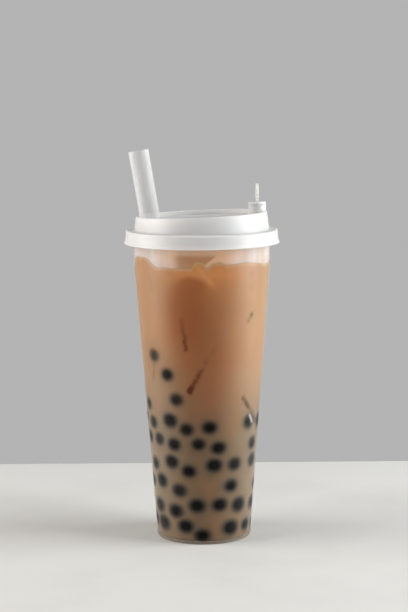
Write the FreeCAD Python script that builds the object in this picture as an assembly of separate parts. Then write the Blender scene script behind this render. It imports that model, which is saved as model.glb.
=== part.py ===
import FreeCAD, Part
import math
import os

# Bubble tea in a tall clear cup: tea with milk over a bed of tapioca pearls, a press-on
# lid with a stoppered sipping spout, and a wide straw that leans in its own hole.
# Millimetres. +Z is up, and the origin is the centre of the foot, on the table.
# The spout is on the +X side and the straw on the -X side.

Vector = FreeCAD.Vector
UP = Vector(0, 0, 1)
CENTRE = Vector(0, 0, 0)

# Cup
cup_height = 190.0
rim_across = 90.0
rim_overhang = 2.6       # how far the rim bead stands out past the neck
bead_height = 3.0
wall = 0.8
foot_across = 58.7       # where the drafted wall would meet the table
foot_corner = 2.0
foot_ring_width = 3.9
foot_recess = 1.7        # the floor is lifted off the table by this much
floor_corner = 1.4
neck_height = 22.4       # the nearly upright band under the rim
neck_draft = 0.4         # how much the band widens from its foot to the rim

# Lid
lid_wall = 1.4
rim_play = 0.15          # between the lid and the cup's rim, all round
skirt_drop = 7.0         # below the top of the cup's rim
skirt_draft = 0.4
lip_flare = 0.95
lip_height = 2.6
lip_round = 0.5
flare_round = 1.5        # hollow bend where the lip leaves the skirt
ledge_round = 0.8
snap_reach = 0.65        # inward step of the ridge that snaps under the bead
plug_depth = 3.5         # ring that plugs the cup's mouth
crown_height = 9.5       # above the ledge, on the lid's axis
crown_draft = 0.13       # inward lean of the crown's side, mm per mm
slant_deg = 2.4          # the crown's top is slanted
slant_heading_deg = -28.0
recess_depth = 3.0
rim_round = 0.5

# Sipping spout and its stopper
spout_width = 11.0
spout_rise = 5.5         # above the middle of the crown's top
sip_bore = 7.6
stopper_play = 0.2
flange_across = 10.8
flange_thick = 1.65
shank_length = 6.0
shank_taper = 0.8
flange_round = 0.4
grip_across = 11.5
grip_thick = 2.0
grip_edge = 1.5
grip_sunk = 0.4          # how far the grip is set into the flange

# Straw
straw_across = 12.4
straw_wall = 0.4
straw_play = 0.3         # between the straw and its hole
hole_land = 1.4          # lid left between the hole and the crown's wall
straw_foot_x = 0.5       # where the straw's foot stands, from the cup's axis
straw_foot_gap = 0.2
straw_showing = 43.5     # above the hole, along the straw

# Contents
tea_below_rim = 18.5
ice_rise = 4.2           # how far the coated ice stands out of the tea
heap_height = 80.0       # mean height of the pearls above the floor, on the axis
heap_slope = 0.26         # the heap falls this much per mm towards the spout side
heap_bump = 2.4
pearl_pitch = 12.4       # between the bumps of the heap's top layer
surface_step = 2.9       # spacing of the points that shape the two uneven tops

# Derived sizes
rim_r = rim_across / 2
neck_r = rim_r - rim_overhang
band_r = neck_r - neck_draft
foot_r = foot_across / 2
neck_z = cup_height - neck_height
floor_z = foot_recess + wall
bead_z = cup_height - bead_height
mouth_r = neck_r - wall
ledge_z = cup_height + lid_wall
crown_r = mouth_r - rim_play
crown_top_z = ledge_z + crown_height
spout_top_z = crown_top_z + spout_rise
straw_r = straw_across / 2
tea_z = cup_height - tea_below_rim
heap_z = floor_z + heap_height
slack = 20.0             # how far a cutting tool runs past what it cuts


def outer_r(z):
    """Outside radius of the cup's drafted wall at a height."""
    return foot_r + (band_r - foot_r) * z / neck_z


def crown_outer_r(z):
    """Outside radius of the lid's crown at a height."""
    return crown_r - crown_draft * (z - ledge_z)


def turned(points):
    """Solid of revolution about Z from a closed outline of (radius, height) points."""
    outline = Part.makePolygon([Vector(r, 0, z) for r, z in points + points[:1]])
    return Part.Face(outline).revolve(CENTRE, UP, 360)


def round_rings(shape, rings):
    """Rounds the circular edges given as (radius, height, rounding)."""
    for radius, height, rounding in rings:
        edges = [
            edge for edge in shape.Edges
            if isinstance(edge.Curve, Part.Circle)
            and abs(edge.Curve.Radius - radius) < 0.01
            and abs(edge.Curve.Center.z - height) < 0.01
        ]
        shape = shape.makeFillet(rounding, edges)
    return shape


def closed_edges_above(shape, height):
    """Edges that run right round the shape, above a height."""
    return [edge for edge in shape.Edges if edge.isClosed() and edge.CenterOfMass.z > height]


def slanted_block(z):
    """Large block whose flat underside is the slanted plane through (0, 0, z)."""
    size = 4 * rim_across
    block = Part.makeBox(size, size, size, Vector(-size / 2, -size / 2, 0))
    block.rotate(CENTRE, Vector(0, 1, 0), -slant_deg)
    block.rotate(CENTRE, UP, slant_heading_deg)
    block.translate(Vector(0, 0, z))
    return block


def crown_cone(inset, low_z, high_z):
    """Cone that follows the crown's side, set in by a wall, between two heights."""
    low_r = crown_outer_r(low_z) - inset
    high_r = crown_outer_r(high_z) - inset
    return Part.makeCone(low_r, high_r, high_z - low_z, Vector(0, 0, low_z))


def cup_hollow():
    """Inside of the cup, from its floor to the top of the rim."""
    hollow = turned([
        (0, floor_z), (outer_r(floor_z) - wall, floor_z), (band_r - wall, neck_z),
        (mouth_r, bead_z), (mouth_r, cup_height), (0, cup_height),
    ])
    return round_rings(hollow, [(outer_r(floor_z) - wall, floor_z, floor_corner)])


def make_cup():
    """Drafted wall, upright neck band, rolled rim bead and a lifted floor on a foot ring."""
    ring_r = foot_r - foot_ring_width
    body = turned([
        (0, foot_recess), (ring_r - foot_recess / 2, foot_recess), (ring_r, 0), (foot_r, 0),
        (band_r, neck_z), (neck_r, bead_z), (rim_r, bead_z), (rim_r, cup_height), (0, cup_height),
    ])
    bead_round = bead_height / 2 - 0.05
    body = round_rings(body, [
        (foot_r, 0, foot_corner), (rim_r, bead_z, bead_round), (rim_r, cup_height, bead_round),
    ])
    return body.cut(cup_hollow())


def lid_shell():
    """Skirt with its snap ridge, flat ledge and slanted crown, hollow underneath."""
    skirt_z = cup_height - skirt_drop
    skirt_in = rim_r + rim_play
    skirt_out = skirt_in + lid_wall
    flare_out = skirt_out + skirt_draft
    lip_z = skirt_z + lip_height
    ridge_z = bead_z - 1.2 * snap_reach
    skirt = turned([
        (0, skirt_z), (flare_out + lip_flare, skirt_z), (flare_out, lip_z),
        (skirt_out, ledge_z), (0, ledge_z),
    ])
    skirt = round_rings(skirt, [
        (flare_out + lip_flare, skirt_z, lip_round), (flare_out, lip_z, flare_round),
        (skirt_out, ledge_z, ledge_round),
    ])
    under_skirt = turned([
        (0, skirt_z - slack), (flare_out, skirt_z - slack), (flare_out, skirt_z),
        (skirt_in, lip_z), (skirt_in - snap_reach, ridge_z), (skirt_in, bead_z),
        (skirt_in, cup_height), (0, cup_height),
    ])
    plug = Part.makeCone(crown_r - rim_play, crown_r, plug_depth, Vector(0, 0, cup_height - plug_depth))
    crown = crown_cone(0, ledge_z, spout_top_z + slack).cut(slanted_block(crown_top_z))
    crown = crown.makeFillet(rim_round, closed_edges_above(crown, ledge_z + 1))
    solid = skirt.cut(under_skirt).fuse([plug, crown])
    panel_top_z = crown_top_z - recess_depth
    panel_low_z = panel_top_z - lid_wall
    inside = crown_cone(lid_wall, cup_height - plug_depth - slack, spout_top_z)
    hollow = inside.cut(slanted_block(panel_low_z))
    recess = inside.common(slanted_block(panel_top_z))
    return solid.cut([hollow, recess]).removeSplitter()


def spout_x():
    """Centre of the sipping spout, flush with the crown's side at the spout's top."""
    return crown_outer_r(spout_top_z) - spout_width / 2


def make_lid():
    """Lid shell with the sipping spout on one side and the straw's hole on the other."""
    shell = lid_shell()
    spout_r = spout_width / 2
    low_z = crown_top_z - recess_depth - lid_wall
    height = spout_top_z - low_z
    spout = Part.makeCylinder(spout_r, height, Vector(spout_x(), 0, low_z))
    spout = spout.makeFillet(rim_round, closed_edges_above(spout, spout_top_z - 0.01))
    lid = shell.fuse(spout).removeSplitter()
    bore = Part.makeCylinder(sip_bore / 2, height + 2 * slack, Vector(spout_x(), 0, low_z - slack))
    hole = straw_rod(straw_r + straw_play, slack)
    return lid.cut([bore, hole])


def lens(thick, edge, reach):
    """Round lens that stands on edge, its faces towards -X and +X."""
    half, rim = thick / 2, edge / 2
    bulge = rim + 0.75 * (half - rim)
    front = [Vector(half, 0, 0), Vector(bulge, 0, 0.55 * reach), Vector(rim, 0, reach)]
    back = [Vector(-point.x, 0, point.z) for point in reversed(front)]
    outline = Part.Wire([
        Part.Arc(*front).toShape(),
        Part.LineSegment(front[-1], back[0]).toShape(),
        Part.Arc(*back).toShape(),
        Part.LineSegment(back[-1], front[0]).toShape(),
    ])
    return Part.Face(outline).revolve(CENTRE, Vector(1, 0, 0), 360)


def make_stopper():
    """Flanged stopper whose shank fills the sip bore, with a lens-shaped grip on edge."""
    shank_r = sip_bore / 2 - stopper_play
    flange_r = flange_across / 2
    low_z = spout_top_z - shank_length
    top_z = spout_top_z + flange_thick
    plug = turned([
        (0, low_z), (shank_r - shank_taper, low_z), (shank_r, low_z + 2 * shank_taper),
        (shank_r, spout_top_z), (flange_r, spout_top_z), (flange_r, top_z), (0, top_z),
    ])
    plug = round_rings(plug, [(flange_r, top_z, flange_round)])
    grip = lens(grip_thick, grip_edge, grip_across / 2)
    grip.translate(Vector(0, 0, top_z - grip_sunk + grip_across / 2))
    stopper = plug.fuse(grip).removeSplitter()
    stopper.translate(Vector(spout_x(), 0, 0))
    return stopper


def straw_line():
    """Foot centre, direction and length of the straw, from its foot and its hole."""
    hole_r = straw_r + straw_play
    panel_z = crown_top_z - recess_depth
    hole_x = -(crown_outer_r(panel_z) - lid_wall - hole_land - hole_r)
    hole_z = panel_z + math.tan(math.radians(slant_deg)) * hole_x * math.cos(math.radians(slant_heading_deg))
    lean = math.atan2(straw_foot_x - hole_x, hole_z - floor_z)
    foot = Vector(straw_foot_x, 0, floor_z + straw_foot_gap + straw_r * math.sin(lean))
    along = Vector(hole_x, 0, hole_z) - foot
    length = along.Length + straw_showing
    return foot, along.normalize(), length


def straw_rod(radius, overrun=0.0):
    """Solid rod on the straw's line, cut square at the straw's foot."""
    foot, along, length = straw_line()
    return Part.makeCylinder(radius, length + overrun, foot, along)


def make_straw():
    """Wide straw, cut square at both ends."""
    return straw_rod(straw_r).cut(straw_rod(straw_r - straw_wall))


def ice_lumps(x, y):
    """Rise of the tea's top over the coated ice that stands out of it."""
    lumps = [  # centre x, centre y, reach, share of the full rise
        (-33, -20, 11, 1.1), (-3, -39, 6, 0.9), (22, -28, 17, 0.7), (-15, 16, 15, 1.0),
        (19, 12, 14, 0.9), (2, -8, 12, 0.6), (-2, 36, 12, 0.6),
    ]
    scale = mouth_r / 41.5
    rise = 0.0
    for centre_x, centre_y, reach, share in lumps:
        away = math.hypot(x - centre_x * scale, y - centre_y * scale) / (reach * scale)
        rise = max(rise, ice_rise * share * math.exp(-away ** 4))
    return rise


def tea_top(x, y):
    """Height of the tea's surface."""
    return tea_z + ice_lumps(x, y)


def heap_top(x, y):
    """Height of the pearl heap: a slope with the bumps of its top layer."""
    turn = 2 * math.pi / pearl_pitch
    bumps = math.cos(turn * x) * math.cos(turn * (y + x / 2))
    return heap_z - heap_slope * x + heap_bump * bumps


def solid_under(height):
    """Solid from below the cup up to an uneven top given as a height function."""
    count = 2 * math.ceil((mouth_r + surface_step) / surface_step) + 1
    half = surface_step * (count - 1) / 2
    steps = [surface_step * index - half for index in range(count)]
    grid = [[Vector(x, y, height(x, y)) for y in steps] for x in steps]
    surface = Part.BSplineSurface()
    surface.interpolate(grid)
    return surface.toShape().extrude(Vector(0, 0, -2 * cup_height))


def make_contents():
    """Pearl heap, tea above it and the column of tea that stands in the straw."""
    hollow = cup_hollow()
    rod = straw_rod(straw_r)
    below_heap = solid_under(heap_top)
    below_tea = solid_under(tea_top)
    filled = hollow.cut(rod)
    heap = filled.common(below_heap)
    tea = filled.common(below_tea).cut(below_heap)
    column = straw_rod(straw_r - straw_wall).common(below_tea)
    return {"tapioca_pearls": heap, "milk_tea": tea, "tea_in_straw": column}


def main():
    """Writes one STEP file for each piece."""
    os.makedirs("parts", exist_ok=True)
    pieces = {
        "cup": make_cup(),
        "lid": make_lid(),
        "stopper": make_stopper(),
        "straw": make_straw(),
    }
    pieces.update(make_contents())
    for name, shape in pieces.items():
        solid = shape.Solids[0]
        print(f"{name}: {len(shape.Solids)} solid, valid {solid.isValid()}, {solid.Volume / 1000:.2f} cm3")
        solid.exportStep(f"parts/{name}.step")


main()
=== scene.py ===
"""Looks of a bubble tea: the tea, its pearls and ice, the plastics and a plain studio."""

import logging
import math
import random
from collections.abc import Iterable, Iterator
from dataclasses import dataclass, field
from enum import Enum

import bmesh
import bpy
import numpy as np
from mathutils import Matrix, Vector


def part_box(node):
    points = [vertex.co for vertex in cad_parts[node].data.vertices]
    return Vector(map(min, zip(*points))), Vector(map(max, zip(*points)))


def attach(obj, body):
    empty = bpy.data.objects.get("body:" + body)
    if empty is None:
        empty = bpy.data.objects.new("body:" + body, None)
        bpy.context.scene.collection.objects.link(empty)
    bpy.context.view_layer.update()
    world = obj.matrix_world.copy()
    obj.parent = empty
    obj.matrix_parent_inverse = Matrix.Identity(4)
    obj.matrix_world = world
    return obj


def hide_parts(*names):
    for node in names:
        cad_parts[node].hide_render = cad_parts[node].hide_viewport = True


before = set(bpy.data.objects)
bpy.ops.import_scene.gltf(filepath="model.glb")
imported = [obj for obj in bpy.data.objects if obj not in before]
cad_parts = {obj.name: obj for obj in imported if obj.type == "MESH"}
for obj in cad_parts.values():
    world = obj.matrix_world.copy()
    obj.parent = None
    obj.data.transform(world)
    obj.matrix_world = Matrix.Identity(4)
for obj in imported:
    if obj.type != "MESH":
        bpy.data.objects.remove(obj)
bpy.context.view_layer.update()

MM = 0.001
MERGE_WITHIN = 0.001 * MM
PLASTIC_IOR = 1.49
TEA_IOR = 1.35
LOG = logging.getLogger("bubble_tea")

Colour = tuple[float, float, float]
Range = tuple[float, float]
Outline = list[tuple[float, float]]


# ---------------------------------------------------------------- materials


class Value:
    """A socket that carries a number. Arithmetic on it adds Math nodes."""

    def __init__(self, surface: "Surface", socket: bpy.types.NodeSocket) -> None:
        """Wraps one output socket of a surface's node tree."""
        self.surface = surface
        self.socket = socket

    def math(self, operation: str, *others: "Value | float") -> "Value":
        """Adds one Math node.

        Args:
            operation: The Math node's operation.
            others: The values that follow this one.

        Returns:
            The node's result.
        """
        inputs = {index: item for index, item in enumerate((self, *others))}
        return self.surface.node("ShaderNodeMath", {"operation": operation}, inputs)

    def __add__(self, other: "Value | float") -> "Value":
        """Sum."""
        return self.math("ADD", other)

    __radd__ = __add__

    def __sub__(self, other: "Value | float") -> "Value":
        """Difference."""
        return self.math("SUBTRACT", other)

    def __rsub__(self, other: float) -> "Value":
        """Difference from a number."""
        return (self * -1.0) + other

    def __mul__(self, other: "Value | float") -> "Value":
        """Product."""
        return self.math("MULTIPLY", other)

    __rmul__ = __mul__

    def __pow__(self, other: float) -> "Value":
        """Power."""
        return self.math("POWER", other)

    def limit(self) -> "Value":
        """The value held between 0 and 1."""
        return self.math("MAXIMUM", 0.0).math("MINIMUM", 1.0)

    def ramp(self, low: float, high: float) -> "Value":
        """Smooth step from 0 at low to 1 at high."""
        ends = {"Value": self, "From Min": low, "From Max": high}
        return self.surface.node("ShaderNodeMapRange", {"interpolation_type": "SMOOTHSTEP"}, ends)


@dataclass(frozen=True)
class Pattern:
    """Noise: its features per metre, its octaves and a factor, under 1 to draw it out upright."""

    scale: float
    detail: float = 3.0
    upright: float = 1.0


class Surface:
    """A material whose nodes are added one by one."""

    def __init__(self, name: str) -> None:
        """Starts an empty material with an output."""
        self.material = bpy.data.materials.new(name)
        self.material.use_nodes = True
        self.tree = self.material.node_tree
        self.tree.nodes.clear()
        self.output = self.tree.nodes.new("ShaderNodeOutputMaterial")

    def _socket(self, sockets: Iterable, key: str | int) -> bpy.types.NodeSocket:
        """Finds a socket.

        Args:
            sockets: A node's inputs or outputs.
            key: Its index, identifier or name.

        Returns:
            The socket.
        """
        for socket in sockets:
            if socket.identifier == key:
                return socket
        return sockets[key]

    def node(self, kind: str, settings: dict | None = None, inputs: dict | None = None,
             output: str | int = 0) -> Value:
        """Adds a node.

        Args:
            kind: The node's type.
            settings: Properties of the node, set first.
            inputs: Values or links of its sockets.
            output: Which output to return.

        Returns:
            The chosen output.
        """
        node = self.tree.nodes.new(kind)
        for key, item in (settings or {}).items():
            setattr(node, key, item)
        for key, item in (inputs or {}).items():
            socket = self._socket(node.inputs, key)
            if isinstance(item, Value):
                self.tree.links.new(item.socket, socket)
            elif socket.type == "RGBA":
                socket.default_value = (*item, 1.0)
            else:
                socket.default_value = item
        return Value(self, self._socket(node.outputs, output))

    def place(self) -> Value:
        """Object coordinates, in metres."""
        return self.node("ShaderNodeTexCoord", output="Object")

    def height(self) -> Value:
        """Height above the table, in metres."""
        return self.node("ShaderNodeSeparateXYZ", inputs={0: self.place()}, output="Z")

    def noise(self, pattern: Pattern) -> Value:
        """Adds noise on object coordinates.

        Args:
            pattern: Its scale, detail and stretch.

        Returns:
            A value that lies mostly between 0.3 and 0.7.
        """
        stretch = (1.0, 1.0, pattern.upright)
        where = self.node("ShaderNodeMapping", inputs={"Vector": self.place(), "Scale": stretch})
        inputs = {"Vector": where, "Scale": pattern.scale, "Detail": pattern.detail}
        return self.node("ShaderNodeTexNoise", inputs=inputs)

    def vary(self, pattern: Value, mean: float, play: float) -> Value:
        """A number that follows a pattern over a range of play about its mean."""
        return pattern * play + (mean - play / 2)

    def attribute(self, name: str) -> Value:
        """A number stored on the mesh."""
        return self.node("ShaderNodeAttribute", {"attribute_name": name}, output="Fac")

    def mix(self, factor: "Value | float", first: "Value | Colour", second: "Value | Colour") -> Value:
        """Mixes two colours."""
        inputs = {"Factor_Float": factor, "A_Color": first, "B_Color": second}
        return self.node("ShaderNodeMix", {"data_type": "RGBA"}, inputs, "Result_Color")

    def bump(self, height: Value, distance: float) -> Value:
        """Normal from a height, whose full range stands for a distance in metres."""
        inputs = {"Height": height, "Distance": distance, "Strength": 1.0}
        return self.node("ShaderNodeBump", inputs=inputs)

    def plastic(self, **inputs: "Value | float | Colour") -> Value:
        """Principled shader. Spaces in socket names are written as underscores."""
        named = {key.replace("_", " "): item for key, item in inputs.items()}
        return self.node("ShaderNodeBsdfPrincipled", inputs=named)

    def blend(self, factor: Value, first: Value, second: Value) -> Value:
        """Mixes two shaders."""
        return self.node("ShaderNodeMixShader", inputs={0: factor, 1: first, 2: second})

    def facing(self, power: float) -> Value:
        """Rises from 0 where the surface is met head on to 1 at its outline."""
        return self.node("ShaderNodeLayerWeight", inputs={"Blend": 0.5}, output="Facing") ** power

    def done(self, shader: Value) -> bpy.types.Material:
        """Links the shader to the output and returns the material."""
        self.tree.links.new(shader.socket, self.output.inputs["Surface"])
        return self.material


@dataclass(frozen=True)
class ClearPlastic:
    """Thin clear plastic with a slight haze, whiter where it is seen edge on."""

    name: str = "clear plastic"
    colour: Colour = (0.90, 0.89, 0.88)
    haze: float = 0.0025
    edge_haze: float = 0.11
    edge_power: float = 1.6
    rim_haze: float = 0.08
    rim_power: float = 8.0
    foot_haze: float = 0.42
    foot_top: float = 3.0 * MM
    # Painted reflection: the foot is tinted brown, as if tea were reflected in it.
    foot_tea_reflection: Colour = (0.40, 0.29, 0.21)
    roughness: float = 0.225
    roughness_play: float = 0.15
    flow: Pattern = Pattern(90.0, 4.0, 0.12)
    flow_depth: float = 0.05 * MM

    def make(self) -> bpy.types.Material:
        """Builds the material."""
        surface = Surface(self.name)
        flow = surface.noise(self.flow)
        foot = 1.0 - surface.height().ramp(0.5 * self.foot_top, self.foot_top)
        edge = surface.facing(self.edge_power) * self.edge_haze
        rim = surface.facing(self.rim_power) * self.rim_haze
        alpha = edge + rim + foot * self.foot_haze + flow * (2 * self.haze)
        shader = surface.plastic(
            # Painted reflection of the tea in the foot.
            Base_Color=surface.mix(foot, self.colour, self.foot_tea_reflection),
            Roughness=surface.vary(flow, self.roughness, self.roughness_play), IOR=PLASTIC_IOR,
            Alpha=alpha.limit(), Normal=surface.bump(flow, self.flow_depth),
        )
        return surface.done(shader)


@dataclass(frozen=True)
class WhitePlastic:
    """Moulded white plastic that lets a little light into itself."""

    name: str
    colour: Colour = (0.76, 0.755, 0.75)
    shade: Colour = (0.72, 0.715, 0.71)
    roughness: float = 0.36
    roughness_play: float = 0.1
    cloud: Pattern = Pattern(35.0, 2.0)
    grain: Pattern = Pattern(2600.0, 2.0)
    grain_depth: float = 0.012 * MM
    glow: float = 0.8
    glow_tint: Colour = (1.0, 0.92, 0.85)
    glow_depth: float = 3.0 * MM

    def make(self) -> bpy.types.Material:
        """Builds the material."""
        surface = Surface(self.name)
        cloud = surface.noise(self.cloud)
        shader = surface.plastic(
            Base_Color=surface.mix(cloud, self.colour, self.shade), IOR=PLASTIC_IOR,
            Roughness=surface.vary(cloud, self.roughness, self.roughness_play),
            Subsurface_Weight=self.glow, Subsurface_Radius=self.glow_tint, Subsurface_Scale=self.glow_depth,
            Normal=surface.bump(surface.noise(self.grain), self.grain_depth),
        )
        return surface.done(shader)


@dataclass(frozen=True)
class FrostedPlastic:
    """Thin frosted plastic that shows what is behind it as a pale grey."""

    name: str = "frosted plastic"
    colour: Colour = (0.82, 0.82, 0.82)
    body: float = 0.23
    edge: float = 0.30
    edge_power: float = 1.3
    roughness: float = 0.5
    roughness_play: float = 0.2
    streak: Pattern = Pattern(160.0, upright=0.06)
    grain: Pattern = Pattern(1800.0)
    grain_depth: float = 0.01 * MM

    def make(self) -> bpy.types.Material:
        """Builds the material."""
        surface = Surface(self.name)
        streak = surface.noise(self.streak)
        alpha = surface.facing(self.edge_power) * self.edge + streak * (2 * self.body)
        shader = surface.plastic(
            Base_Color=self.colour, IOR=PLASTIC_IOR, Alpha=alpha.limit(),
            Roughness=surface.vary(streak, self.roughness, self.roughness_play),
            Normal=surface.bump(surface.noise(self.grain), self.grain_depth),
        )
        return surface.done(shader)


@dataclass(frozen=True)
class Tea:
    """Milky tea: dark and saturated in front, with both sides painted paler as if lit by the side lamps,
    greyer and duller among the pearls.

    A range says where a pattern starts and ends, and a share how much of its colour is mixed
    in. What shows straight through the tea has a second shader, without the milk's glow.
    """

    name: str = "milk tea"
    front: Colour = (0.36, 0.142, 0.052)
    # Painted light: the tea is painted paler at both sides, as if lit by the side lamps, and a little
    # yellower at the right.
    left: Colour = (0.44, 0.240, 0.112)
    right: Colour = (0.46, 0.268, 0.138)
    lit: Colour = (0.76, 0.345, 0.120)
    # Painted shade over the ice block; the random clouds darken towards this tone too.
    deep_tone_and_painted_shade: Colour = (0.34, 0.105, 0.026)
    # Painted glow along the ice block's ridge.
    glow_ridge: Colour = (0.84, 0.400, 0.160)
    froth: Colour = (0.70, 0.440, 0.300)
    heap_front: Colour = (0.24, 0.145, 0.075)
    # Painted light: the heap is painted paler at both sides, as if lit.
    heap_lit_sides: Colour = (0.275, 0.196, 0.118)
    heap_warm: Colour = (0.32, 0.168, 0.074)
    gloom: Colour = (0.130, 0.094, 0.058)
    thin: Colour = (0.130, 0.110, 0.088)
    through_ice: Colour = (0.105, 0.020, 0.005)
    # Painted light: ice streaks are painted greyer at both sides, as if lit.
    ice_at_lit_sides: Colour = (0.12, 0.068, 0.044)
    # Painted highlight: a pale glint on the ice where it meets the wall.
    glint: Colour = (0.68, 0.66, 0.64)
    pearl: Colour = (0.0032, 0.0022, 0.002)
    cloud: Pattern = Pattern(28.0)
    cloud_range: Range = (0.4, 0.75)
    cloud_share: float = 0.25
    froth_share: float = 0.7
    warmth: Pattern = Pattern(45.0, 2.0)
    warmth_range: Range = (0.5, 0.68)
    warmth_share: float = 0.6
    knots: Pattern = Pattern(230.0, 2.0)
    knots_range: Range = (0.48, 0.60)
    knots_share: float = 0.7
    streak_share: float = 0.75
    streak_power: float = 9.0
    ice_tint: float = 0.6
    ice_shown: float = 0.75
    ice_over_pearl: float = 3.0
    aside_range: Range = (0.5, 1.0)
    thin_range: Range = (0.0, 0.75)
    roughness: float = 0.3
    roughness_play: float = 0.1
    fine: Pattern = Pattern(240.0)
    fine_depth: float = 0.04 * MM
    milk_tint: Colour = (1.0, 0.42, 0.2)
    milk_depth: float = 9.0 * MM
    clear_roughness: float = 0.5
    clear_ior: float = 1.1

    def make(self) -> bpy.types.Material:
        """Builds the material."""
        surface = Surface(self.name)
        # side marks both sides of the tea, which are painted paler as if lit.
        side = surface.attribute("left") + surface.attribute("right")
        pearl = surface.attribute("pearl")
        # Painted highlight: the pale glint, shown straight through the tea.
        glint = surface.attribute("glint") ** self.streak_power
        ice = self._ice(surface) * (1.0 - pearl)
        # Painted light: the ice streaks turn greyer towards both sides, as if lit.
        behind = surface.mix(side.ramp(*self.aside_range), self.through_ice, self.ice_at_lit_sides)
        tone = surface.mix(ice * self.ice_tint, self._tone(surface, side), behind)
        thinned = pearl.ramp(*self.thin_range) * surface.attribute("heap")
        fine = surface.noise(self.fine)
        milky = surface.plastic(
            Base_Color=surface.mix(thinned, tone, self.thin), IOR=TEA_IOR, Subsurface_Weight=1.0,
            Roughness=surface.vary(fine, self.roughness, self.roughness_play),
            Subsurface_Radius=self.milk_tint, Subsurface_Scale=self.milk_depth,
            Normal=surface.bump(fine, self.fine_depth),
        )
        sunk = surface.mix((ice * self.ice_over_pearl - pearl).limit(), self.pearl, behind)
        clear = surface.plastic(
            Base_Color=surface.mix(glint, sunk, self.glint),
            Roughness=self.clear_roughness, IOR=self.clear_ior,
        )
        shown = (pearl + ice * self.ice_shown + glint).limit()
        return surface.done(surface.blend(shown, milky, clear))

    def _ice(self, surface: Surface) -> Value:
        """Draws a thin streak where ice touches the wall, with knots along it.

        Args:
            surface: The material that gets the nodes.

        Returns:
            How much of the ice shows.
        """
        near = surface.attribute("ice")
        knots = surface.noise(self.knots).ramp(*self.knots_range)
        streak = near ** self.streak_power * self.streak_share
        return (streak + near ** (self.streak_power / 2) * knots * self.knots_share).limit()

    def _tone(self, surface: Surface, side: Value) -> Value:
        """Colour of the tea by itself.

        Args:
            surface: The material that gets the nodes.
            side: 0 at the front and the back, 1 at both sides.

        Returns:
            The colour.
        """
        tone = self.front
        # In order: both sides painted paler as if lit, the ice block's painted shade, painted light near
        # the top, and a painted glow along the block's ridge.
        for name in ("left", "right", "deep_tone_and_painted_shade", "lit", "glow_ridge"):
            tone = surface.mix(surface.attribute(name), tone, getattr(self, name))
        # Random clouds darken the tea towards the same tone as the painted shade.
        clouds = surface.noise(self.cloud).ramp(*self.cloud_range) * self.cloud_share
        tone = surface.mix(clouds, tone, self.deep_tone_and_painted_shade)
        tone = surface.mix(surface.attribute("froth") * self.froth_share, tone, self.froth)
        warm = surface.noise(self.warmth).ramp(*self.warmth_range) * self.warmth_share
        # Painted light: the heap turns paler towards both sides, as if lit.
        among = surface.mix(side, self.heap_front, self.heap_lit_sides)
        among = surface.mix(warm, among, self.heap_warm)
        tone = surface.mix(surface.attribute("heap"), tone, among)
        return surface.mix(surface.attribute("gloom"), tone, self.gloom)


@dataclass(frozen=True)
class Tapioca:
    """Dark glossy jelly of the pearls."""

    name: str = "tapioca"
    colour: Colour = (0.0032, 0.0022, 0.002)
    warm: Colour = (0.008, 0.0055, 0.0045)
    cloud: Pattern = Pattern(160.0)
    cloud_depth: float = 0.1 * MM
    roughness: float = 0.45
    roughness_play: float = 0.2
    ior: float = 1.12

    def make(self) -> bpy.types.Material:
        """Builds the material."""
        surface = Surface(self.name)
        cloud = surface.noise(self.cloud)
        shader = surface.plastic(
            Base_Color=surface.mix(cloud, self.colour, self.warm), IOR=self.ior,
            Roughness=surface.vary(cloud, self.roughness, self.roughness_play),
            Normal=surface.bump(cloud, self.cloud_depth),
        )
        return surface.done(shader)


@dataclass(frozen=True)
class Ice:
    """Ice seen through tea, deep brown with paler clouds."""

    name: str = "ice in tea"
    colour: Colour = (0.11, 0.020, 0.006)
    pale: Colour = (0.34, 0.13, 0.05)
    cloud: Pattern = Pattern(120.0)
    pale_range: Range = (0.5, 0.75)
    roughness: float = 0.1
    roughness_play: float = 0.1
    ior: float = 1.31

    def make(self) -> bpy.types.Material:
        """Builds the material."""
        surface = Surface(self.name)
        cloud = surface.noise(self.cloud)
        shader = surface.plastic(
            Base_Color=surface.mix(cloud.ramp(*self.pale_range), self.colour, self.pale),
            Roughness=surface.vary(cloud, self.roughness, self.roughness_play), IOR=self.ior,
        )
        return surface.done(shader)


@dataclass(frozen=True)
class Film:
    """Thin film of milk and mist that tea leaves on the cup's wall above its level."""

    name: str = "milk film"
    # Painted light: film and foam are painted lighter towards the top and darker low down; the film is also
    # more orange near the tea.
    film_low_shaded: Colour = (0.84, 0.48, 0.28)
    film_high_lit: Colour = (0.98, 0.68, 0.49)
    foam_low_shaded: Colour = (0.64, 0.535, 0.485)
    foam_high_lit: Colour = (0.88, 0.775, 0.71)
    bare: Colour = (0.60, 0.300, 0.145)
    mist: float = 0.86
    mist_play: float = 0.5
    clearing: float = 0.12
    smear_mist: float = 0.02
    smear_play: float = 1.0
    drips: Pattern = Pattern(130.0, 4.0, 0.3)
    roughness: float = 0.45
    roughness_play: float = 0.3

    def make(self) -> bpy.types.Material:
        """Builds the material."""
        surface = Surface(self.name)
        drips = surface.noise(self.drips)
        above = surface.attribute("above")
        smear = (surface.attribute("smear") * surface.vary(drips, 1.0, self.smear_play)).limit()
        # Painted light: film and foam get lighter the higher they stand above the tea.
        film = surface.mix(above, self.film_low_shaded, self.film_high_lit)
        film = surface.mix(surface.attribute("bare"), film, self.bare)
        foam = surface.mix(above, self.foam_low_shaded, self.foam_high_lit)
        mist = self.mist - above * self.clearing + smear * self.smear_mist
        shader = surface.plastic(
            Base_Color=surface.mix(smear, film, foam), IOR=TEA_IOR,
            Roughness=surface.vary(drips, self.roughness, self.roughness_play),
            Alpha=(mist * surface.vary(drips, 1.0, self.mist_play)).limit(),
        )
        return surface.done(shader)


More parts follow.
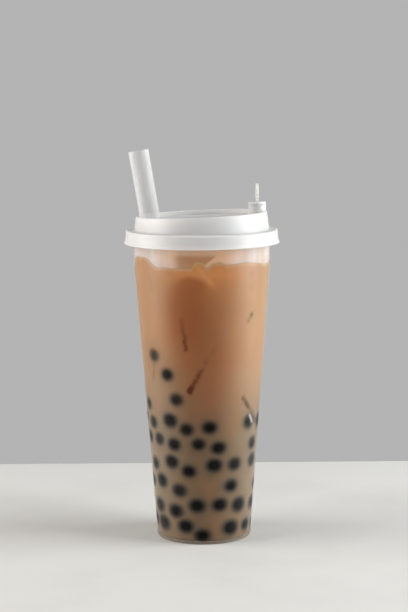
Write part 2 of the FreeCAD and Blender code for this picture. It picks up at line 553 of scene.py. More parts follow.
@dataclass(frozen=True)
class Tabletop:
    """Plain pale table."""

    name: str = "pale table"
    colour: Colour = (0.845, 0.845, 0.82)
    worn: Colour = (0.785, 0.785, 0.76)
    cloud: Pattern = Pattern(9.0, 5.0)
    worn_range: Range = (0.4, 0.7)
    roughness: float = 0.6

    def make(self) -> bpy.types.Material:
        """Builds the material."""
        surface = Surface(self.name)
        worn = surface.noise(self.cloud).ramp(*self.worn_range)
        tone = surface.mix(worn, self.colour, self.worn)
        return surface.done(surface.plastic(Base_Color=tone, Roughness=self.roughness))


# ------------------------------------------------------------ mesh helpers


def rounded(before: Vector, corner: Vector, after: Vector, rounding: float, steps: int = 5) -> Outline:
    """Rounds a corner of an outline.

    Args:
        before: The point before the corner.
        corner: The sharp corner.
        after: The point after it.
        rounding: Its radius.
        steps: Steps in the bend.

    Returns:
        Points of (radius, height).
    """
    back, ahead = before - corner, after - corner
    reach = rounding / math.tan(back.angle(ahead) / 2)
    start, end = corner + back.normalized() * reach, corner + ahead.normalized() * reach
    points = []
    for share in (step / steps for step in range(steps + 1)):
        bend = start * (1 - share) ** 2 + corner * (2 * share * (1 - share)) + end * share ** 2
        points.append(tuple(bend))
    return points


def spun(outline: Outline, steps: int) -> bmesh.types.BMesh:
    """Turns an open outline about the Z axis.

    Args:
        outline: Points of (radius, height), which may start and end on the axis.
        steps: Steps in the full turn.

    Returns:
        A closed mesh.
    """
    bm = bmesh.new()
    row = [bm.verts.new((radius, 0.0, height)) for radius, height in outline]
    edges = [bm.edges.new(pair) for pair in zip(row, row[1:])]
    bmesh.ops.spin(bm, geom=row + edges, cent=(0, 0, 0), axis=(0, 0, 1), angle=2 * math.pi,
                   steps=steps, use_merge=True)
    bmesh.ops.remove_doubles(bm, verts=bm.verts, dist=MERGE_WITHIN)
    bmesh.ops.recalc_face_normals(bm, faces=bm.faces)
    return bm


def add(name: str, data: bpy.types.ID) -> bpy.types.Object:
    """Adds an object to the scene.

    Args:
        name: Its name.
        data: Its mesh, light or camera.

    Returns:
        The new object.
    """
    item = bpy.data.objects.new(name, data)
    bpy.context.scene.collection.objects.link(item)
    return item


def finish_piece(bm: bmesh.types.BMesh, name: str, material: bpy.types.Material,
                 replaces: tuple[str, ...] = ()) -> bpy.types.Object:
    """Makes a mesh a piece of the model.

    Args:
        bm: The finished mesh, in place. It is freed.
        name: The piece's name.
        material: Its finish.
        replaces: CAD nodes that the piece stands for.

    Returns:
        The new object.
    """
    mesh = bpy.data.meshes.new(name)
    bm.to_mesh(mesh)
    bm.free()
    mesh.shade_smooth()
    mesh.materials.append(material)
    piece = add(name, mesh)
    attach(piece, "root")
    if replaces:
        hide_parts(*replaces)
    LOG.info("%s: %d faces", name, len(mesh.polygons))
    return piece


def points_of(mesh: bpy.types.Mesh) -> np.ndarray:
    """The mesh's vertices as rows of X, Y and Z."""
    flat = np.zeros(len(mesh.vertices) * 3)
    mesh.vertices.foreach_get("co", flat)
    return flat.reshape(-1, 3)


def store(mesh: bpy.types.Mesh, name: str, values: np.ndarray) -> None:
    """Stores one number for each vertex."""
    layer = mesh.attributes.new(name, "FLOAT", "POINT")
    layer.data.foreach_set("value", np.ascontiguousarray(values, dtype=np.float32))


def smooth_step(values: np.ndarray) -> np.ndarray:
    """Smooth rise from 0 to 1 over the same range."""
    held = np.clip(values, 0.0, 1.0)
    return held * held * (3 - 2 * held)


@dataclass(frozen=True)
class Waves:
    """Uneven waves: their height, their mean length and the seed of their directions and phases."""

    height: float
    length: float
    seed: int
    count: int = 7
    length_play: Range = (0.7, 1.5)

    def at(self, x: np.ndarray, y: np.ndarray) -> np.ndarray:
        """Adds up the waves.

        Args:
            x: First coordinates.
            y: Second coordinates.

        Returns:
            One rise for each point, mostly within the waves' height.
        """
        draw = random.Random(self.seed)
        total = np.zeros_like(x)
        for _ in range(self.count):
            heading = draw.uniform(0, math.pi)
            turn = 2 * math.pi / (self.length * draw.uniform(*self.length_play))
            phase = draw.uniform(0, 2 * math.pi)
            total += np.sin(turn * (x * math.cos(heading) + y * math.sin(heading)) + phase)
        return self.height * total / math.sqrt(self.count)


# -------------------------------------------------------------- the drink


@dataclass
class CupForm:
    """The cup's inside, which everything in it follows."""

    wall: float = 0.8 * MM
    foot_recess: float = 1.7 * MM
    floor_corner: float = 1.4 * MM
    foot_r: float = 29.35 * MM
    neck_height: float = 22.4 * MM
    rim_overhang: float = 2.6 * MM
    neck_draft: float = 0.4 * MM
    height: float = field(init=False)
    rim_r: float = field(init=False)

    def __post_init__(self) -> None:
        """Takes the overall sizes from the frame."""
        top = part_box("cup")[1]
        self.height = top.z
        self.rim_r = top.x

    @property
    def floor(self) -> float:
        """Height of the floor's upper face."""
        return self.foot_recess + self.wall

    @property
    def mouth_r(self) -> float:
        """Inner radius at the rim."""
        return self.rim_r - self.rim_overhang - self.wall

    def inner(self, height: float) -> float:
        """Finds the inner radius: a drafted wall below an almost upright neck band.

        Args:
            height: Height above the table.

        Returns:
            The radius.
        """
        neck = self.height - self.neck_height
        band_r = self.mouth_r - self.neck_draft
        if height < neck:
            slope = (band_r + self.wall - self.foot_r) / neck
            return self.foot_r - self.wall + slope * height
        return band_r + self.neck_draft * (height - neck) / self.neck_height

    def hold(self, bm: bmesh.types.BMesh, proud: float) -> None:
        """Presses what lies outside the cup's inner wall back to a little way into it.

        Args:
            bm: The mesh to hold.
            proud: How far into the wall it may reach.
        """
        for vert in bm.verts:
            limit = self.inner(vert.co.z) + proud
            away = math.hypot(vert.co.x, vert.co.y)
            if away > limit:
                vert.co.x *= limit / away
                vert.co.y *= limit / away


@dataclass(frozen=True)
class Pearl:
    """One pearl: its centre, its radius and how wide it shows through the tea."""

    centre: Vector
    radius: float
    spot: float


@dataclass
class PearlBed:
    """The heap of pearls in the foot of the cup, and the few that hang above it.

    Headings are in degrees, 0 at the front and growing towards the spout's side. The strays
    are a heading and a height in millimetres each. press_play is in millimetres, core_inset
    in pearl radii, and a spot's sizes are shares of its pearl's radius.
    """

    form: CupForm
    radius: float = 5.2 * MM
    radius_play: float = 0.3 * MM
    squash: float = 0.05
    twist: float = 6.28
    smoothness: int = 4
    closest: float = 9.6 * MM
    lowest: float = 8.6 * MM
    ring_pitch: float = 13.2 * MM
    pearl_pitch: float = 11.9 * MM
    turn_play: float = 5.5
    height_play: float = 3.4 * MM
    missing: float = 0.04
    heap_top: float = 86.0 * MM
    heap_slope: float = 0.40
    proud: float = 0.4 * MM
    pressed: float = 0.45 * MM
    stray_pressed: float = -0.15 * MM
    press_play: Range = (-0.4, 0.35)
    seed: int = 2
    strays: tuple[tuple[float, float], ...] = (
        (-36.0, 106.0), (-52.0, 117.0), (-27.0, 91.0), (148.0, 101.0),
    )
    core_inset: float = 2.2
    core_rows: int = 16
    core_around: int = 60
    spot_size: float = 0.93
    spot_play: float = 0.08
    spot_pressed: float = 0.12
    spot_stray: float = 0.5
    spot_core: float = 0.34
    spot_rim: float = 1.30
    clear_depth: float = 4.0 * MM
    gloom_width: float = 3.4 * MM
    pearls: list[Pearl] = field(init=False)

    def __post_init__(self) -> None:
        """Settles the pearls that lie at the wall."""
        draw = random.Random(self.seed)
        self.pearls = []
        for heading, height in self.strays:
            self._add(draw, heading, height * MM, self.stray_pressed)
        for heading, height in self._rings(random.Random(self.seed)):
            centre = self._centre(heading, height, 0.0)
            fits = all((centre - other.centre).length > self.closest for other in self.pearls)
            if fits and height < self.top_at(centre.x):
                self._add(draw, heading, height, self.pressed)

    def _rings(self, draw: random.Random) -> Iterator[tuple[float, float]]:
        """Lays pearls in uneven, staggered rings, with a few missing.

        Args:
            draw: Where the unevenness comes from.

        Returns:
            A heading and a height for each pearl.
        """
        ring = self.lowest
        first = draw.uniform(0.0, 360.0)
        while ring < self.top_at(-self.form.mouth_r):
            away = self.form.inner(ring) - self.radius
            count = round(2 * math.pi * away / self.pearl_pitch)
            first += 180.0 / count + draw.uniform(-self.turn_play, self.turn_play)
            for index in range(count):
                turn = draw.uniform(-self.turn_play, self.turn_play)
                rise = draw.uniform(-self.height_play, self.height_play)
                if draw.random() > self.missing:
                    yield first + 360.0 * index / count + turn, ring + rise
            ring += self.ring_pitch

    def top_at(self, x: float) -> float:
        """Greatest height of the pearls' centres in the heap."""
        return self.heap_top - self.heap_slope * x

    def _centre(self, heading: float, height: float, pressed: float) -> Vector:
        """Finds the centre of a pearl at the wall.

        Args:
            heading: Its heading.
            height: Its height.
            pressed: How far it is pressed into the wall.

        Returns:
            The centre.
        """
        turn = math.radians(heading)
        away = self.form.inner(height) - self.radius + pressed
        return Vector((away * math.sin(turn), -away * math.cos(turn), height))

    def _add(self, draw: random.Random, heading: float, height: float, pressed: float) -> None:
        """Adds a pearl of uneven size, pressed more or less against the wall.

        Args:
            draw: Where the unevenness comes from.
            heading: Its heading.
            height: Its height.
            pressed: How far it is pressed into the wall in the mean.
        """
        play = draw.uniform(*self.press_play)
        radius = self.radius + draw.uniform(-1, 1) * self.radius_play
        shown = self.spot_size + self.spot_pressed * play + draw.uniform(-self.spot_play, self.spot_play)
        shown += self.spot_stray * min(pressed, 0.0) / MM
        centre = self._centre(heading, height, pressed + play * MM)
        self.pearls.append(Pearl(centre, radius, radius * shown))

    def build(self, material: bpy.types.Material) -> None:
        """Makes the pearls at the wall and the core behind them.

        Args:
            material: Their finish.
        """
        bm = bmesh.new()
        draw = random.Random(self.seed + 1)
        least, most = 1.0 - self.squash, 1.0 + self.squash
        for pearl in self.pearls:
            twist = draw.uniform(0, self.twist)
            turn = Matrix.Rotation(twist, 4, Vector((draw.random(), draw.random(), 1)))
            stretch = Matrix.Diagonal((draw.uniform(least, most), draw.uniform(least, most), 1, 1))
            place = Matrix.Translation(pearl.centre) @ turn @ stretch @ Matrix.Scale(pearl.radius, 4)
            bmesh.ops.create_icosphere(bm, subdivisions=self.smoothness, radius=1.0, matrix=place)
        self.form.hold(bm, self.proud)
        finish_piece(bm, "pearls_at_wall", material, ("tapioca_pearls",))
        self._build_core(material)

    def _build_core(self, material: bpy.types.Material) -> None:
        """Makes the smaller core of the heap, with its sloping top.

        Args:
            material: Its finish.
        """
        low = self.form.floor + self.radius
        top = self.heap_top - 2 * self.radius
        heights = [low + (top - low) * step / self.core_rows for step in range(self.core_rows + 1)]
        inset = self.core_inset * self.radius
        wall_row = [(self.form.inner(height) - inset, height) for height in heights]
        bottom = [(0.0, low), (0.5 * wall_row[0][0], low)]
        lid = [(0.5 * wall_row[-1][0], top), (0.0, top)]
        bm = spun(bottom + wall_row + lid, self.core_around)
        for vert in bm.verts:
            if vert.co.z > low + MM:
                vert.co.z -= self.heap_slope * vert.co.x * (vert.co.z - low) / (top - low)
        finish_piece(bm, "pearls_inside", material)

    def shade(self, points: np.ndarray) -> tuple[np.ndarray, np.ndarray]:
        """Finds how dark the pearls make the tea at points near the wall.

        Args:
            points: Rows of X, Y and Z.

        Returns:
            How much of a pearl shows straight through the tea, and the wider gloom.
        """
        flat = points * np.array([1.0, 1.0, 0.0])
        inward = -flat / np.maximum(np.linalg.norm(flat, axis=1, keepdims=True), MM)
        seen = np.zeros(len(points))
        gloom = np.zeros(len(points))
        for pearl in self.pearls:
            offset = np.array(pearl.centre) - points
            ahead = np.einsum("ij,ij->i", offset, inward)
            apart = np.linalg.norm(offset, axis=1)
            aside = np.sqrt(np.maximum(apart ** 2 - ahead ** 2, 0.0))
            setback = np.maximum(ahead - pearl.radius, 0.0)
            faded = (aside / pearl.spot - self.spot_core) / (self.spot_rim - self.spot_core)
            spot = (1.0 - smooth_step(faded)) * np.exp(-setback / self.clear_depth)
            seen = np.maximum(seen, np.where(ahead > 0.0, spot, 0.0))
            near = np.exp(-np.maximum(apart - pearl.radius, 0.0) / self.gloom_width)
            gloom = np.maximum(gloom, near)
        return seen, gloom


@dataclass(frozen=True)
class Cube:
    """An ice cube with one edge towards the cup's wall, in degrees and millimetres.

    heading is 0 at the front and grows towards the spout's side. lean turns the edge in
    the wall's plane, pitch tips its top end outwards, and depth sets the cube back.
    """

    heading: float
    height: float
    side: float
    lean: float = 0.0
    pitch: float = 0.0
    depth: float = 0.0


@dataclass
class IceInTea:
    """The cubes that float in the tea with an edge at the wall, and the small pieces under a painted glint.

    wall_draft is the wall's slope in degrees, and edge_cut is how far a rounded edge falls
    back from the sharp one, as a share of the rounding.
    """

    form: CupForm
    proud: float = 0.10 * MM
    rounding: float = 1.1 * MM
    melt: float = 0.22 * MM
    melt_length: float = 5 * MM
    cuts: int = 22
    wall_draft: float = 4.3
    edge_cut: float = 0.41
    lost_depth: float = 4.0 * MM
    seed: int = 30
    cubes: tuple[Cube, ...] = (
        Cube(-17.0, 132.0, 18.0, lean=-8.0, pitch=-1.5, depth=0.1),
        Cube(-1.5, 109.5, 30.0, lean=29.0, pitch=-3.6, depth=0.5),
        Cube(47.0, 140.5, 5.5, lean=32.0, depth=0.1),
        Cube(55.0, 83.6, 22.0, lean=-42.0, pitch=0.5),
        Cube(-54.0, 107.0, 10.0, lean=10.0, depth=0.3),
        Cube(47.0, 163.0, 9.0, lean=-6.0, depth=1.0),
        Cube(-50.0, 162.0, 9.0, lean=-12.0, depth=1.0),
        Cube(118.0, 128.0, 22.0, lean=18.0),
        Cube(160.0, 140.0, 24.0, lean=-20.0),
        Cube(-155.0, 112.0, 25.0, lean=30.0),
        Cube(-112.0, 138.0, 20.0, lean=-12.0),
    )
    # Small pieces of ice under the painted highlight.
    glint_chips: tuple[Cube, ...] = (
        Cube(57.5, 77.0, 5.5, lean=-34.0), Cube(-128.0, 104.0, 5.0, lean=26.0),
    )

    def _place(self, cube: Cube) -> Matrix:
        """Turns and moves a cube so that one edge lies at the wall.

        Args:
            cube: The cube.

        Returns:
            Its place in the cup.
        """
        diagonal = Matrix.Rotation(math.radians(45.0), 4, "Z")
        tip = Matrix.Rotation(math.radians(cube.pitch + self.wall_draft), 4, "X")
        lean = Matrix.Rotation(math.radians(cube.lean), 4, "Y")
        turn = Matrix.Rotation(math.radians(cube.heading), 4, "Z")
        edge_away = cube.side * MM / math.sqrt(2) - self.edge_cut * self.rounding
        away = self.form.inner(cube.height * MM) + self.proud - cube.depth * MM - edge_away
        step = Matrix.Translation((0.0, -away, cube.height * MM))
        return turn @ step @ tip @ lean @ diagonal

    def _melted(self, cube: Cube, seed: int) -> bmesh.types.BMesh:
        """Makes one cube with round edges and uneven faces.

        Args:
            cube: The cube.
            seed: Picks its unevenness.

        Returns:
            Its mesh, in place.
        """
        bm = bmesh.new()
        bmesh.ops.create_cube(bm, size=cube.side * MM)
        bmesh.ops.subdivide_edges(bm, edges=bm.edges, cuts=self.cuts, use_grid_fill=True)
        reach = cube.side * MM / 2 - self.rounding
        places = np.array([vert.co for vert in bm.verts])
        waves = Waves(self.melt, self.melt_length, seed)
        rises = waves.at(places[:, 0] + places[:, 1], places[:, 2] - places[:, 1])
        for vert, rise in zip(bm.verts, rises):
            inside = Vector([max(-reach, min(reach, part)) for part in vert.co])
            vert.co = inside + (vert.co - inside).normalized() * (self.rounding + rise)
        bm.transform(self._place(cube))
        return bm

    def build(self, material: bpy.types.Material) -> None:
        """Makes the melting cubes and the chips as one piece.

        Args:
            material: Their finish.
        """
        bm = bmesh.new()
        part = bpy.data.meshes.new("cube")
        for index, cube in enumerate(self.cubes + self.glint_chips):
            melted = self._melted(cube, self.seed + index)
            melted.to_mesh(part)
            melted.free()
            bm.from_mesh(part)
        bpy.data.meshes.remove(part)
        self.form.hold(bm, self.proud)
        finish_piece(bm, "ice_in_tea", material)

    def shade(self, points: np.ndarray, cubes: tuple[Cube, ...]) -> np.ndarray:
        """Finds how near cubes' edges come to points.

        Args:
            points: Rows of X, Y and Z.
            cubes: The cubes.

        Returns:
            1 where an edge touches, falling to 0 where it is lost in the tea.
        """
        shown = np.zeros(len(points))
        for cube in cubes:
            half = cube.side * MM / 2
            reach = half - self.rounding
            place = self._place(cube)
            low, high = (np.array(place @ Vector((-reach, -reach, end))) for end in (-half, half))
            along = np.clip((points - low) @ (high - low) / np.dot(high - low, high - low), 0.0, 1.0)
            apart = np.linalg.norm(points - low - np.outer(along, high - low), axis=1) - self.rounding
            shown = np.maximum(shown, 1.0 - np.clip(apart / self.lost_depth, 0.0, 1.0))
        return shown


@dataclass(frozen=True)
class IceBlock:
    """A large block of ice near the front of the wall, seen only as painted shade in the tea with a painted
    glow along a ridge.

    Its outline is round, sharp at the upper right and soft elsewhere. edge and the fades are
    shares of its half sizes, and the ridge is a slanted line that runs down to the right.
    """

    x: float = -9.5 * MM
    height: float = 148 * MM
    across: float = 37 * MM
    up: float = 19.5 * MM
    down: float = 48 * MM
    edge: float = 1.06
    sharp_fade: float = 0.18
    soft_fade: float = 0.85
    sharp_rise: float = 1.3
    sharp_above: float = 0.1
    sharp_from: float = -0.9
    # How strong the painted shade is.
    depth: float = 0.9
    front_fade: float = 20 * MM
    crest_x: float = 6.2 * MM
    crest_height: float = 161 * MM
    crest_slope: float = 1.32
    crest_half: float = 2.3 * MM
    crest_fade: float = 7 * MM
    # How strong the painted glow is.
    glow_crest: float = 0.45

    def shade(self, points: np.ndarray) -> tuple[np.ndarray, np.ndarray]:
        """Finds how much painted shade and glow the block puts on the tea at points.

        Args:
            points: Rows of X, Y and Z.

        Returns:
            The painted shade inside its outline, and the painted glow along its upper right edge.
        """
        x, y, height = points.T
        across = (x - self.x) / (self.across / 2)
        rise = height - self.height
        tall = rise / np.where(rise > 0.0, self.up, self.down)
        sharp = smooth_step(self.sharp_rise * tall - self.sharp_above)
        sharp *= smooth_step(across - self.sharp_from)
        fade = self.sharp_fade + self.soft_fade * (1.0 - sharp)
        inside = smooth_step((self.edge - np.hypot(across, tall)) / fade)
        crest_x = self.crest_x - (height - self.crest_height) / self.crest_slope
        glow_crest = np.exp(-((x - crest_x) / self.crest_half) ** 2)
        upper = smooth_step((height - self.crest_height) / self.crest_fade + 0.5)
        front = smooth_step(-y / self.front_fade)
        return self.depth * inside * front, self.glow_crest * glow_crest * upper * front


@dataclass(frozen=True)
class Lump:
    """Coated ice that stands out of the tea: place and reach in millimetres, share of the full rise."""

    x: float
    y: float
    reach: float
    share: float


@dataclass
class MilkTea:
    """The tea, from the cup's floor to its uneven top, reaching just into the wall.

    It is lit near its top, over about lit_depth, and it turns dull around dull_top, where the
    heap of pearls starts: higher at both sides and, by dull_slope, towards the straw.
    """

    form: CupForm
    bed: PearlBed
    ice: IceInTea
    block: IceBlock = IceBlock()
    into_wall: float = 0.25 * MM
    below_rim: float = 18.5 * MM
    rise: float = 4.2 * MM
    row: float = 0.75 * MM
    around: int = 330
    rings: int = 44
    brink: float = 0.1 * MM
    shaped_depth: float = 14 * MM
    lumps: tuple[Lump, ...] = (
        Lump(-37, -18, 12, 1.25), Lump(-2, -41, 3.6, 0.95), Lump(10, -40, 5.5, 0.85),
        Lump(25, -33, 15, 0.55), Lump(-15, 16, 15, 1.0), Lump(19, 12, 14, 0.9),
        Lump(2, -8, 12, 0.6), Lump(-2, 36, 12, 0.6),
    )
    swell: Waves = Waves(0.3 * MM, 9 * MM, 5)
    ripple: Waves = Waves(0.16 * MM, 3 * MM, 6)
    # Where the sides painted paler as if lit begin, and how wide they fade in, as shares of the heading's
    # sine.
    side_start: float = 0.1
    side_width: float = 0.7
    lit_depth: float = 10.5 * MM
    lit_gain: float = 1.1
    lit_most: float = 0.75
    lit_lost: float = 0.7
    dull_top: float = 84 * MM
    dull_aside: float = 12 * MM
    dull_slope: float = 0.1
    dull_fade: float = 75 * MM
    loose_gloom: float = 0.45
    froth_depth: float = 1.6 * MM
    froth_mean: float = 0.75
    froth_waves: Waves = Waves(0.25, 14 * MM, 9)

    @property
    def level(self) -> float:
        """Height of the tea between the lumps of ice."""
        return self.form.height - self.below_rim

    def relief(self, x: np.ndarray, y: np.ndarray) -> np.ndarray:
        """Finds how far the tea's top rises above its level.

        Args:
            x: First coordinates.
            y: Second coordinates.

        Returns:
            One rise for each point.
        """
        rise = np.zeros_like(x)
        for lump in self.lumps:
            away = np.hypot(x - lump.x * MM, y - lump.y * MM) / (lump.reach * MM)
            rise = np.maximum(rise, self.rise * lump.share * np.exp(-away ** 4))
        return rise + self.swell.at(x, y) + self.ripple.at(x, y)

    def _outline(self) -> Outline:
        """Half section: floor, wall in even rows and top in even rings.

        Returns:
            Points of (radius, height).
        """
        floor = self.form.floor - self.into_wall
        corner = self.form.floor_corner
        start = 4 * corner
        before = Vector((0.0, floor))
        sharp = Vector((self.form.inner(floor) + self.into_wall, floor))
        after = Vector((self.form.inner(start) + self.into_wall, start))
        foot = [tuple(before), *rounded(before, sharp, after, corner), tuple(after)]
        rows = round((self.level - start) / self.row)
        heights = [start + (self.level - start) * step / rows for step in range(1, rows + 1)]
        wall_row = [(self.form.inner(height) + self.into_wall, height) for height in heights]
        top_r = wall_row[-1][0]
        brink = [(top_r, self.level - self.brink), wall_row.pop(), (top_r - self.brink, self.level)]
        top = [(top_r * (1 - step / self.rings), self.level) for step in range(1, self.rings + 1)]
        return foot + wall_row + brink + top

    def build(self, material: bpy.types.Material, ice_material: bpy.types.Material) -> None:
        """Makes the tea and its ice, and stores what shows through the tea.

        Args:
            material: The tea's finish.
            ice_material: The ice's finish.
        """
        bm = spun(self._outline(), self.around)
        places = np.array([vert.co for vert in bm.verts])
        lift = self.relief(places[:, 0], places[:, 1])
        share = smooth_step((places[:, 2] - self.level) / self.shaped_depth + 1)
        for vert, rise in zip(bm.verts, lift * share):
            vert.co.z += rise
        piece = finish_piece(bm, "milk_tea_body", material, ("milk_tea",))
        self.ice.build(ice_material)
        for name, values in self._shades(points_of(piece.data)).items():
            store(piece.data, name, values)

    def _shades(self, points: np.ndarray) -> dict[str, np.ndarray]:
        """Finds what shows in the tea at points.

        Args:
            points: Rows of X, Y and Z.

        Returns:
            Shares from 0 to 1, by the names that the finish reads.
        """
        x, y, height = points.T
        seen, gloom = self.bed.shade(points)
        # Painted shade inside the ice block's outline and a painted glow along its ridge.
        deep_tone_and_painted_shade, glow_ridge = self.block.shade(points)
        away = np.maximum(np.hypot(x, y), MM)
        # Painted light: side rises from the front and back to both sides, which the finish paints paler as
        # if lit.
        side = smooth_step((np.abs(x) / away - self.side_start) / self.side_width)
        dull_at = self.dull_top + self.dull_aside * side - self.dull_slope * x
        heap = smooth_step((dull_at - height) / self.dull_fade + 0.5)
        below = np.maximum(self.level - height, 0.0)
        lit = np.minimum(self.lit_gain * np.exp(-below / self.lit_depth), self.lit_most)
        return {
            "pearl": seen, "gloom": gloom * (self.loose_gloom + (1.0 - self.loose_gloom) * heap),
            "heap": heap, "deep_tone_and_painted_shade": deep_tone_and_painted_shade, "glow_ridge": glow_ridge,
            "left": np.where(x < 0.0, side, 0.0), "right": np.where(x > 0.0, side, 0.0),
            "lit": lit * (1.0 - side) * (1.0 - self.lit_lost * deep_tone_and_painted_shade), "froth": self._froth(points),
            # Painted highlight: the pale glint over the small pieces of ice.
            "ice": self.ice.shade(points, self.ice.cubes), "glint": self.ice.shade(points, self.ice.glint_chips),
        }

    def _froth(self, points: np.ndarray) -> np.ndarray:
        """Finds how much froth hangs in the tea just under its edge.

        Args:
            points: Rows of X, Y and Z.

        Returns:
            A share for each point.
        """
        x, y, height = points.T
        under = np.maximum(self.level + self.relief(x, y) - height, 0.0)
        uneven = self.froth_mean + self.froth_waves.at(x, y)
        return np.clip(uneven * np.exp(-(under / self.froth_depth) ** 2), 0.0, 1.0)


@dataclass
class WallFilm:
    """Milk film and mist on the cup's inner wall, from the tea's edge to the rim.

    The smears are a heading and a half width in degrees each. The bare wedge starts softly
    at bare_start and ends at an edge that slants from the first heading of bare_turn, at the
    tea, to the second, at its top.
    """

    form: CupForm
    tea: MilkTea
    off_wall: float = 0.12 * MM
    thickness: float = 0.1 * MM
    under_level: float = 2 * MM
    below_rim: float = 5 * MM
    rows: int = 14
    around: int = 180
    smears: tuple[tuple[float, float], ...] = ((-68.0, 40.0), (62.0, 34.0), (150.0, 30.0))
    smear_reach: float = 1.6
    smear_waist: float = 0.4
    smear_flare: float = 0.5
    bare_start: float = -30.0
    bare_turn: Range = (0.0, 15.0)
    bare_below_rim: float = 9.5 * MM
    bare_soft_side: float = 14.0
    bare_sharp_side: float = 1.6
    bare_soft_top: float = 0.35

    def build(self, material: bpy.types.Material) -> None:
        """Makes the film as a closed thin band and stores how it varies.

        Args:
            material: Its finish.
        """
        low = self.tea.level - self.under_level
        high = self.form.height - self.below_rim
        heights = [low + (high - low) * step / self.rows for step in range(self.rows + 1)]
        outside = [(self.form.inner(height) - self.off_wall, height) for height in heights]
        inside = [(radius - self.thickness, height) for radius, height in reversed(outside)]
        bm = spun(outside + inside + outside[:1], self.around)
        piece = finish_piece(bm, "tea_film", material)
        x, y, height = points_of(piece.data).T
        edge = self.tea.level + self.tea.relief(x, y)
        above = (height - edge) / (high - self.tea.level)
        turn = np.degrees(np.arctan2(x, -y))
        # above also sets how much light is painted on the film, lighter towards the top.
        store(piece.data, "above", smooth_step(above))
        store(piece.data, "smear", self._smear(turn, above))
        store(piece.data, "bare", self._bare(turn, height))

    def _smear(self, turn: np.ndarray, above: np.ndarray) -> np.ndarray:
        """Finds how much foam is smeared over the film.

        Args:
            turn: Headings of points, in degrees.
            above: Their heights over the tea's edge, as shares of the film's.

        Returns:
            A share for each point.
        """
        smear = np.zeros_like(turn)
        for heading, spread in self.smears:
            off = np.abs((turn - heading + 180.0) % 360.0 - 180.0) / spread
            flare = self.smear_flare * above * np.sign(off - self.smear_waist)
            smear = np.maximum(smear, smooth_step(self.smear_reach - off - flare))
        return smear

    def _bare(self, turn: np.ndarray, height: np.ndarray) -> np.ndarray:
        """Finds how much the film has run off in a wedge with one slanted edge.

        Args:
            turn: Headings of points, in degrees.
            height: Their heights.

        Returns:
            A share for each point.
        """
        low, high = self.tea.level, self.form.height - self.bare_below_rim
        climb = (height - low) / (high - low)
        edge = self.bare_turn[0] + (self.bare_turn[1] - self.bare_turn[0]) * climb
        left = smooth_step((turn - self.bare_start) / self.bare_soft_side)
        right = smooth_step((edge - turn) / self.bare_sharp_side)
        return left * right * smooth_step((1.0 - climb) / self.bare_soft_top)


# ------------------------------------------------------------- the studio


class Side(Enum):
    """Which side of the drink a soft light stands on."""

    LEFT = -1
    RIGHT = 1


@dataclass(frozen=True)
class SoftLight:
    """One large soft light that faces the drink."""

    side: Side
    power: float
    colour: Colour
    width: float = 0.7
    height: float = 1.0
    aside: float = 0.85
    ahead: float = 0.12
    up: float = 0.38
    aim: float = 0.11

    def build(self) -> None:
        """Adds the light."""
        lamp = bpy.data.lights.new(f"soft_{self.side.name.lower()}", "AREA")
        lamp.shape = "RECTANGLE"
        lamp.size = self.width
        lamp.size_y = self.height
        lamp.energy = self.power
        lamp.color = self.colour
        light = add(lamp.name, lamp)
        stand = Vector((self.side.value * self.aside, -self.ahead, self.up))
        light.location = stand
        light.rotation_euler = (Vector((0.0, 0.0, self.aim)) - stand).to_track_quat("-Z", "Y").to_euler()


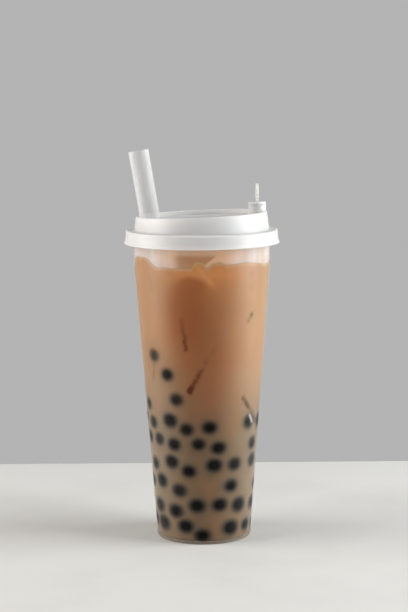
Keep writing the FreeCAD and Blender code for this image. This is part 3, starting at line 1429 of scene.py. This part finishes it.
@dataclass
class Studio:
    """Pale table, plain grey surround, soft lights and the camera."""

    table_back: float = 0.20
    table_reach: float = 0.8
    table_depth: float = 0.04
    surround: Colour = (0.452, 0.454, 0.452)
    surround_light: float = 0.55
    surround_seen: float = 1.0
    lights: tuple[SoftLight, ...] = (
        SoftLight(Side.LEFT, 8.5, (1.0, 0.965, 0.93)), SoftLight(Side.RIGHT, 11.2, (0.99, 1.0, 1.0)),
    )
    camera_away: float = 1.093
    camera_height: float = 0.2905
    camera_aside: float = 0.001
    camera_tilt: float = 7.65
    camera_roll: float = -0.44
    lens: float = 105.0
    sensor: float = 36.0

    def build(self) -> None:
        """Makes everything around the drink."""
        self._table()
        self._world()
        for light in self.lights:
            light.build()
        self._camera()
        bpy.context.scene.view_settings.view_transform = "Standard"

    def _table(self) -> None:
        """Makes the table, which ends a little behind the drink."""
        bm = bmesh.new()
        across, along = 2 * self.table_reach, self.table_back + self.table_reach
        size = Matrix.Diagonal((across, along, self.table_depth, 1))
        middle = (0.0, (self.table_back - self.table_reach) / 2, -self.table_depth / 2)
        bmesh.ops.create_cube(bm, size=1.0, matrix=Matrix.Translation(middle) @ size)
        mesh = bpy.data.meshes.new("table")
        bm.to_mesh(mesh)
        bm.free()
        mesh.materials.append(Tabletop().make())
        add("table", mesh)

    def _world(self) -> None:
        """Makes the even grey surround, which lights the drink less than it shows."""
        world = bpy.data.worlds.new("surround")
        world.use_nodes = True
        tree = world.node_tree
        tree.nodes.clear()
        output = tree.nodes.new("ShaderNodeOutputWorld")
        path = tree.nodes.new("ShaderNodeLightPath")
        mix = tree.nodes.new("ShaderNodeMixShader")
        for strength, place in ((self.surround_light, 1), (self.surround_seen, 2)):
            background = tree.nodes.new("ShaderNodeBackground")
            background.inputs["Color"].default_value = (*self.surround, 1.0)
            background.inputs["Strength"].default_value = strength
            tree.links.new(background.outputs[0], mix.inputs[place])
        tree.links.new(path.outputs["Is Camera Ray"], mix.inputs[0])
        tree.links.new(mix.outputs[0], output.inputs["Surface"])
        bpy.context.scene.world = world

    def _camera(self) -> None:
        """Sets the camera in front of the drink, a little above its lid."""
        lens = bpy.data.cameras.new("camera")
        lens.lens = self.lens
        lens.sensor_width = self.sensor
        camera = add("camera", lens)
        tilt = Matrix.Rotation(math.radians(90.0 - self.camera_tilt), 4, "X")
        roll = Matrix.Rotation(math.radians(self.camera_roll), 4, "Z")
        place = Matrix.Translation((self.camera_aside, -self.camera_away, self.camera_height))
        camera.matrix_world = place @ tilt @ roll
        bpy.context.scene.camera = camera


def dress(node: str, material: bpy.types.Material) -> None:
    """Gives a CAD node its finish.

    Args:
        node: The node's name.
        material: Its finish.
    """
    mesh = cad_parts[node].data
    mesh.materials.clear()
    mesh.materials.append(material)
    LOG.info("%s: %s", node, material.name)


def main() -> None:
    """Builds the drink and its studio."""
    logging.basicConfig(level=logging.INFO, format="%(name)s %(message)s")
    tea_finish = Tea().make()
    dress("cup", ClearPlastic().make())
    dress("lid", WhitePlastic("white plastic").make())
    dress("stopper", WhitePlastic("stopper plastic", colour=(0.82, 0.815, 0.80), roughness=0.45).make())
    dress("straw", FrostedPlastic().make())
    dress("tea_in_straw", tea_finish)
    form = CupForm()
    bed = PearlBed(form)
    LOG.info("%d pearls at the wall", len(bed.pearls))
    tea = MilkTea(form, bed, IceInTea(form))
    tea.build(tea_finish, Ice().make())
    bed.build(Tapioca().make())
    WallFilm(form, tea).build(Film().make())
    Studio().build()


if __name__ == "__main__":
    main()
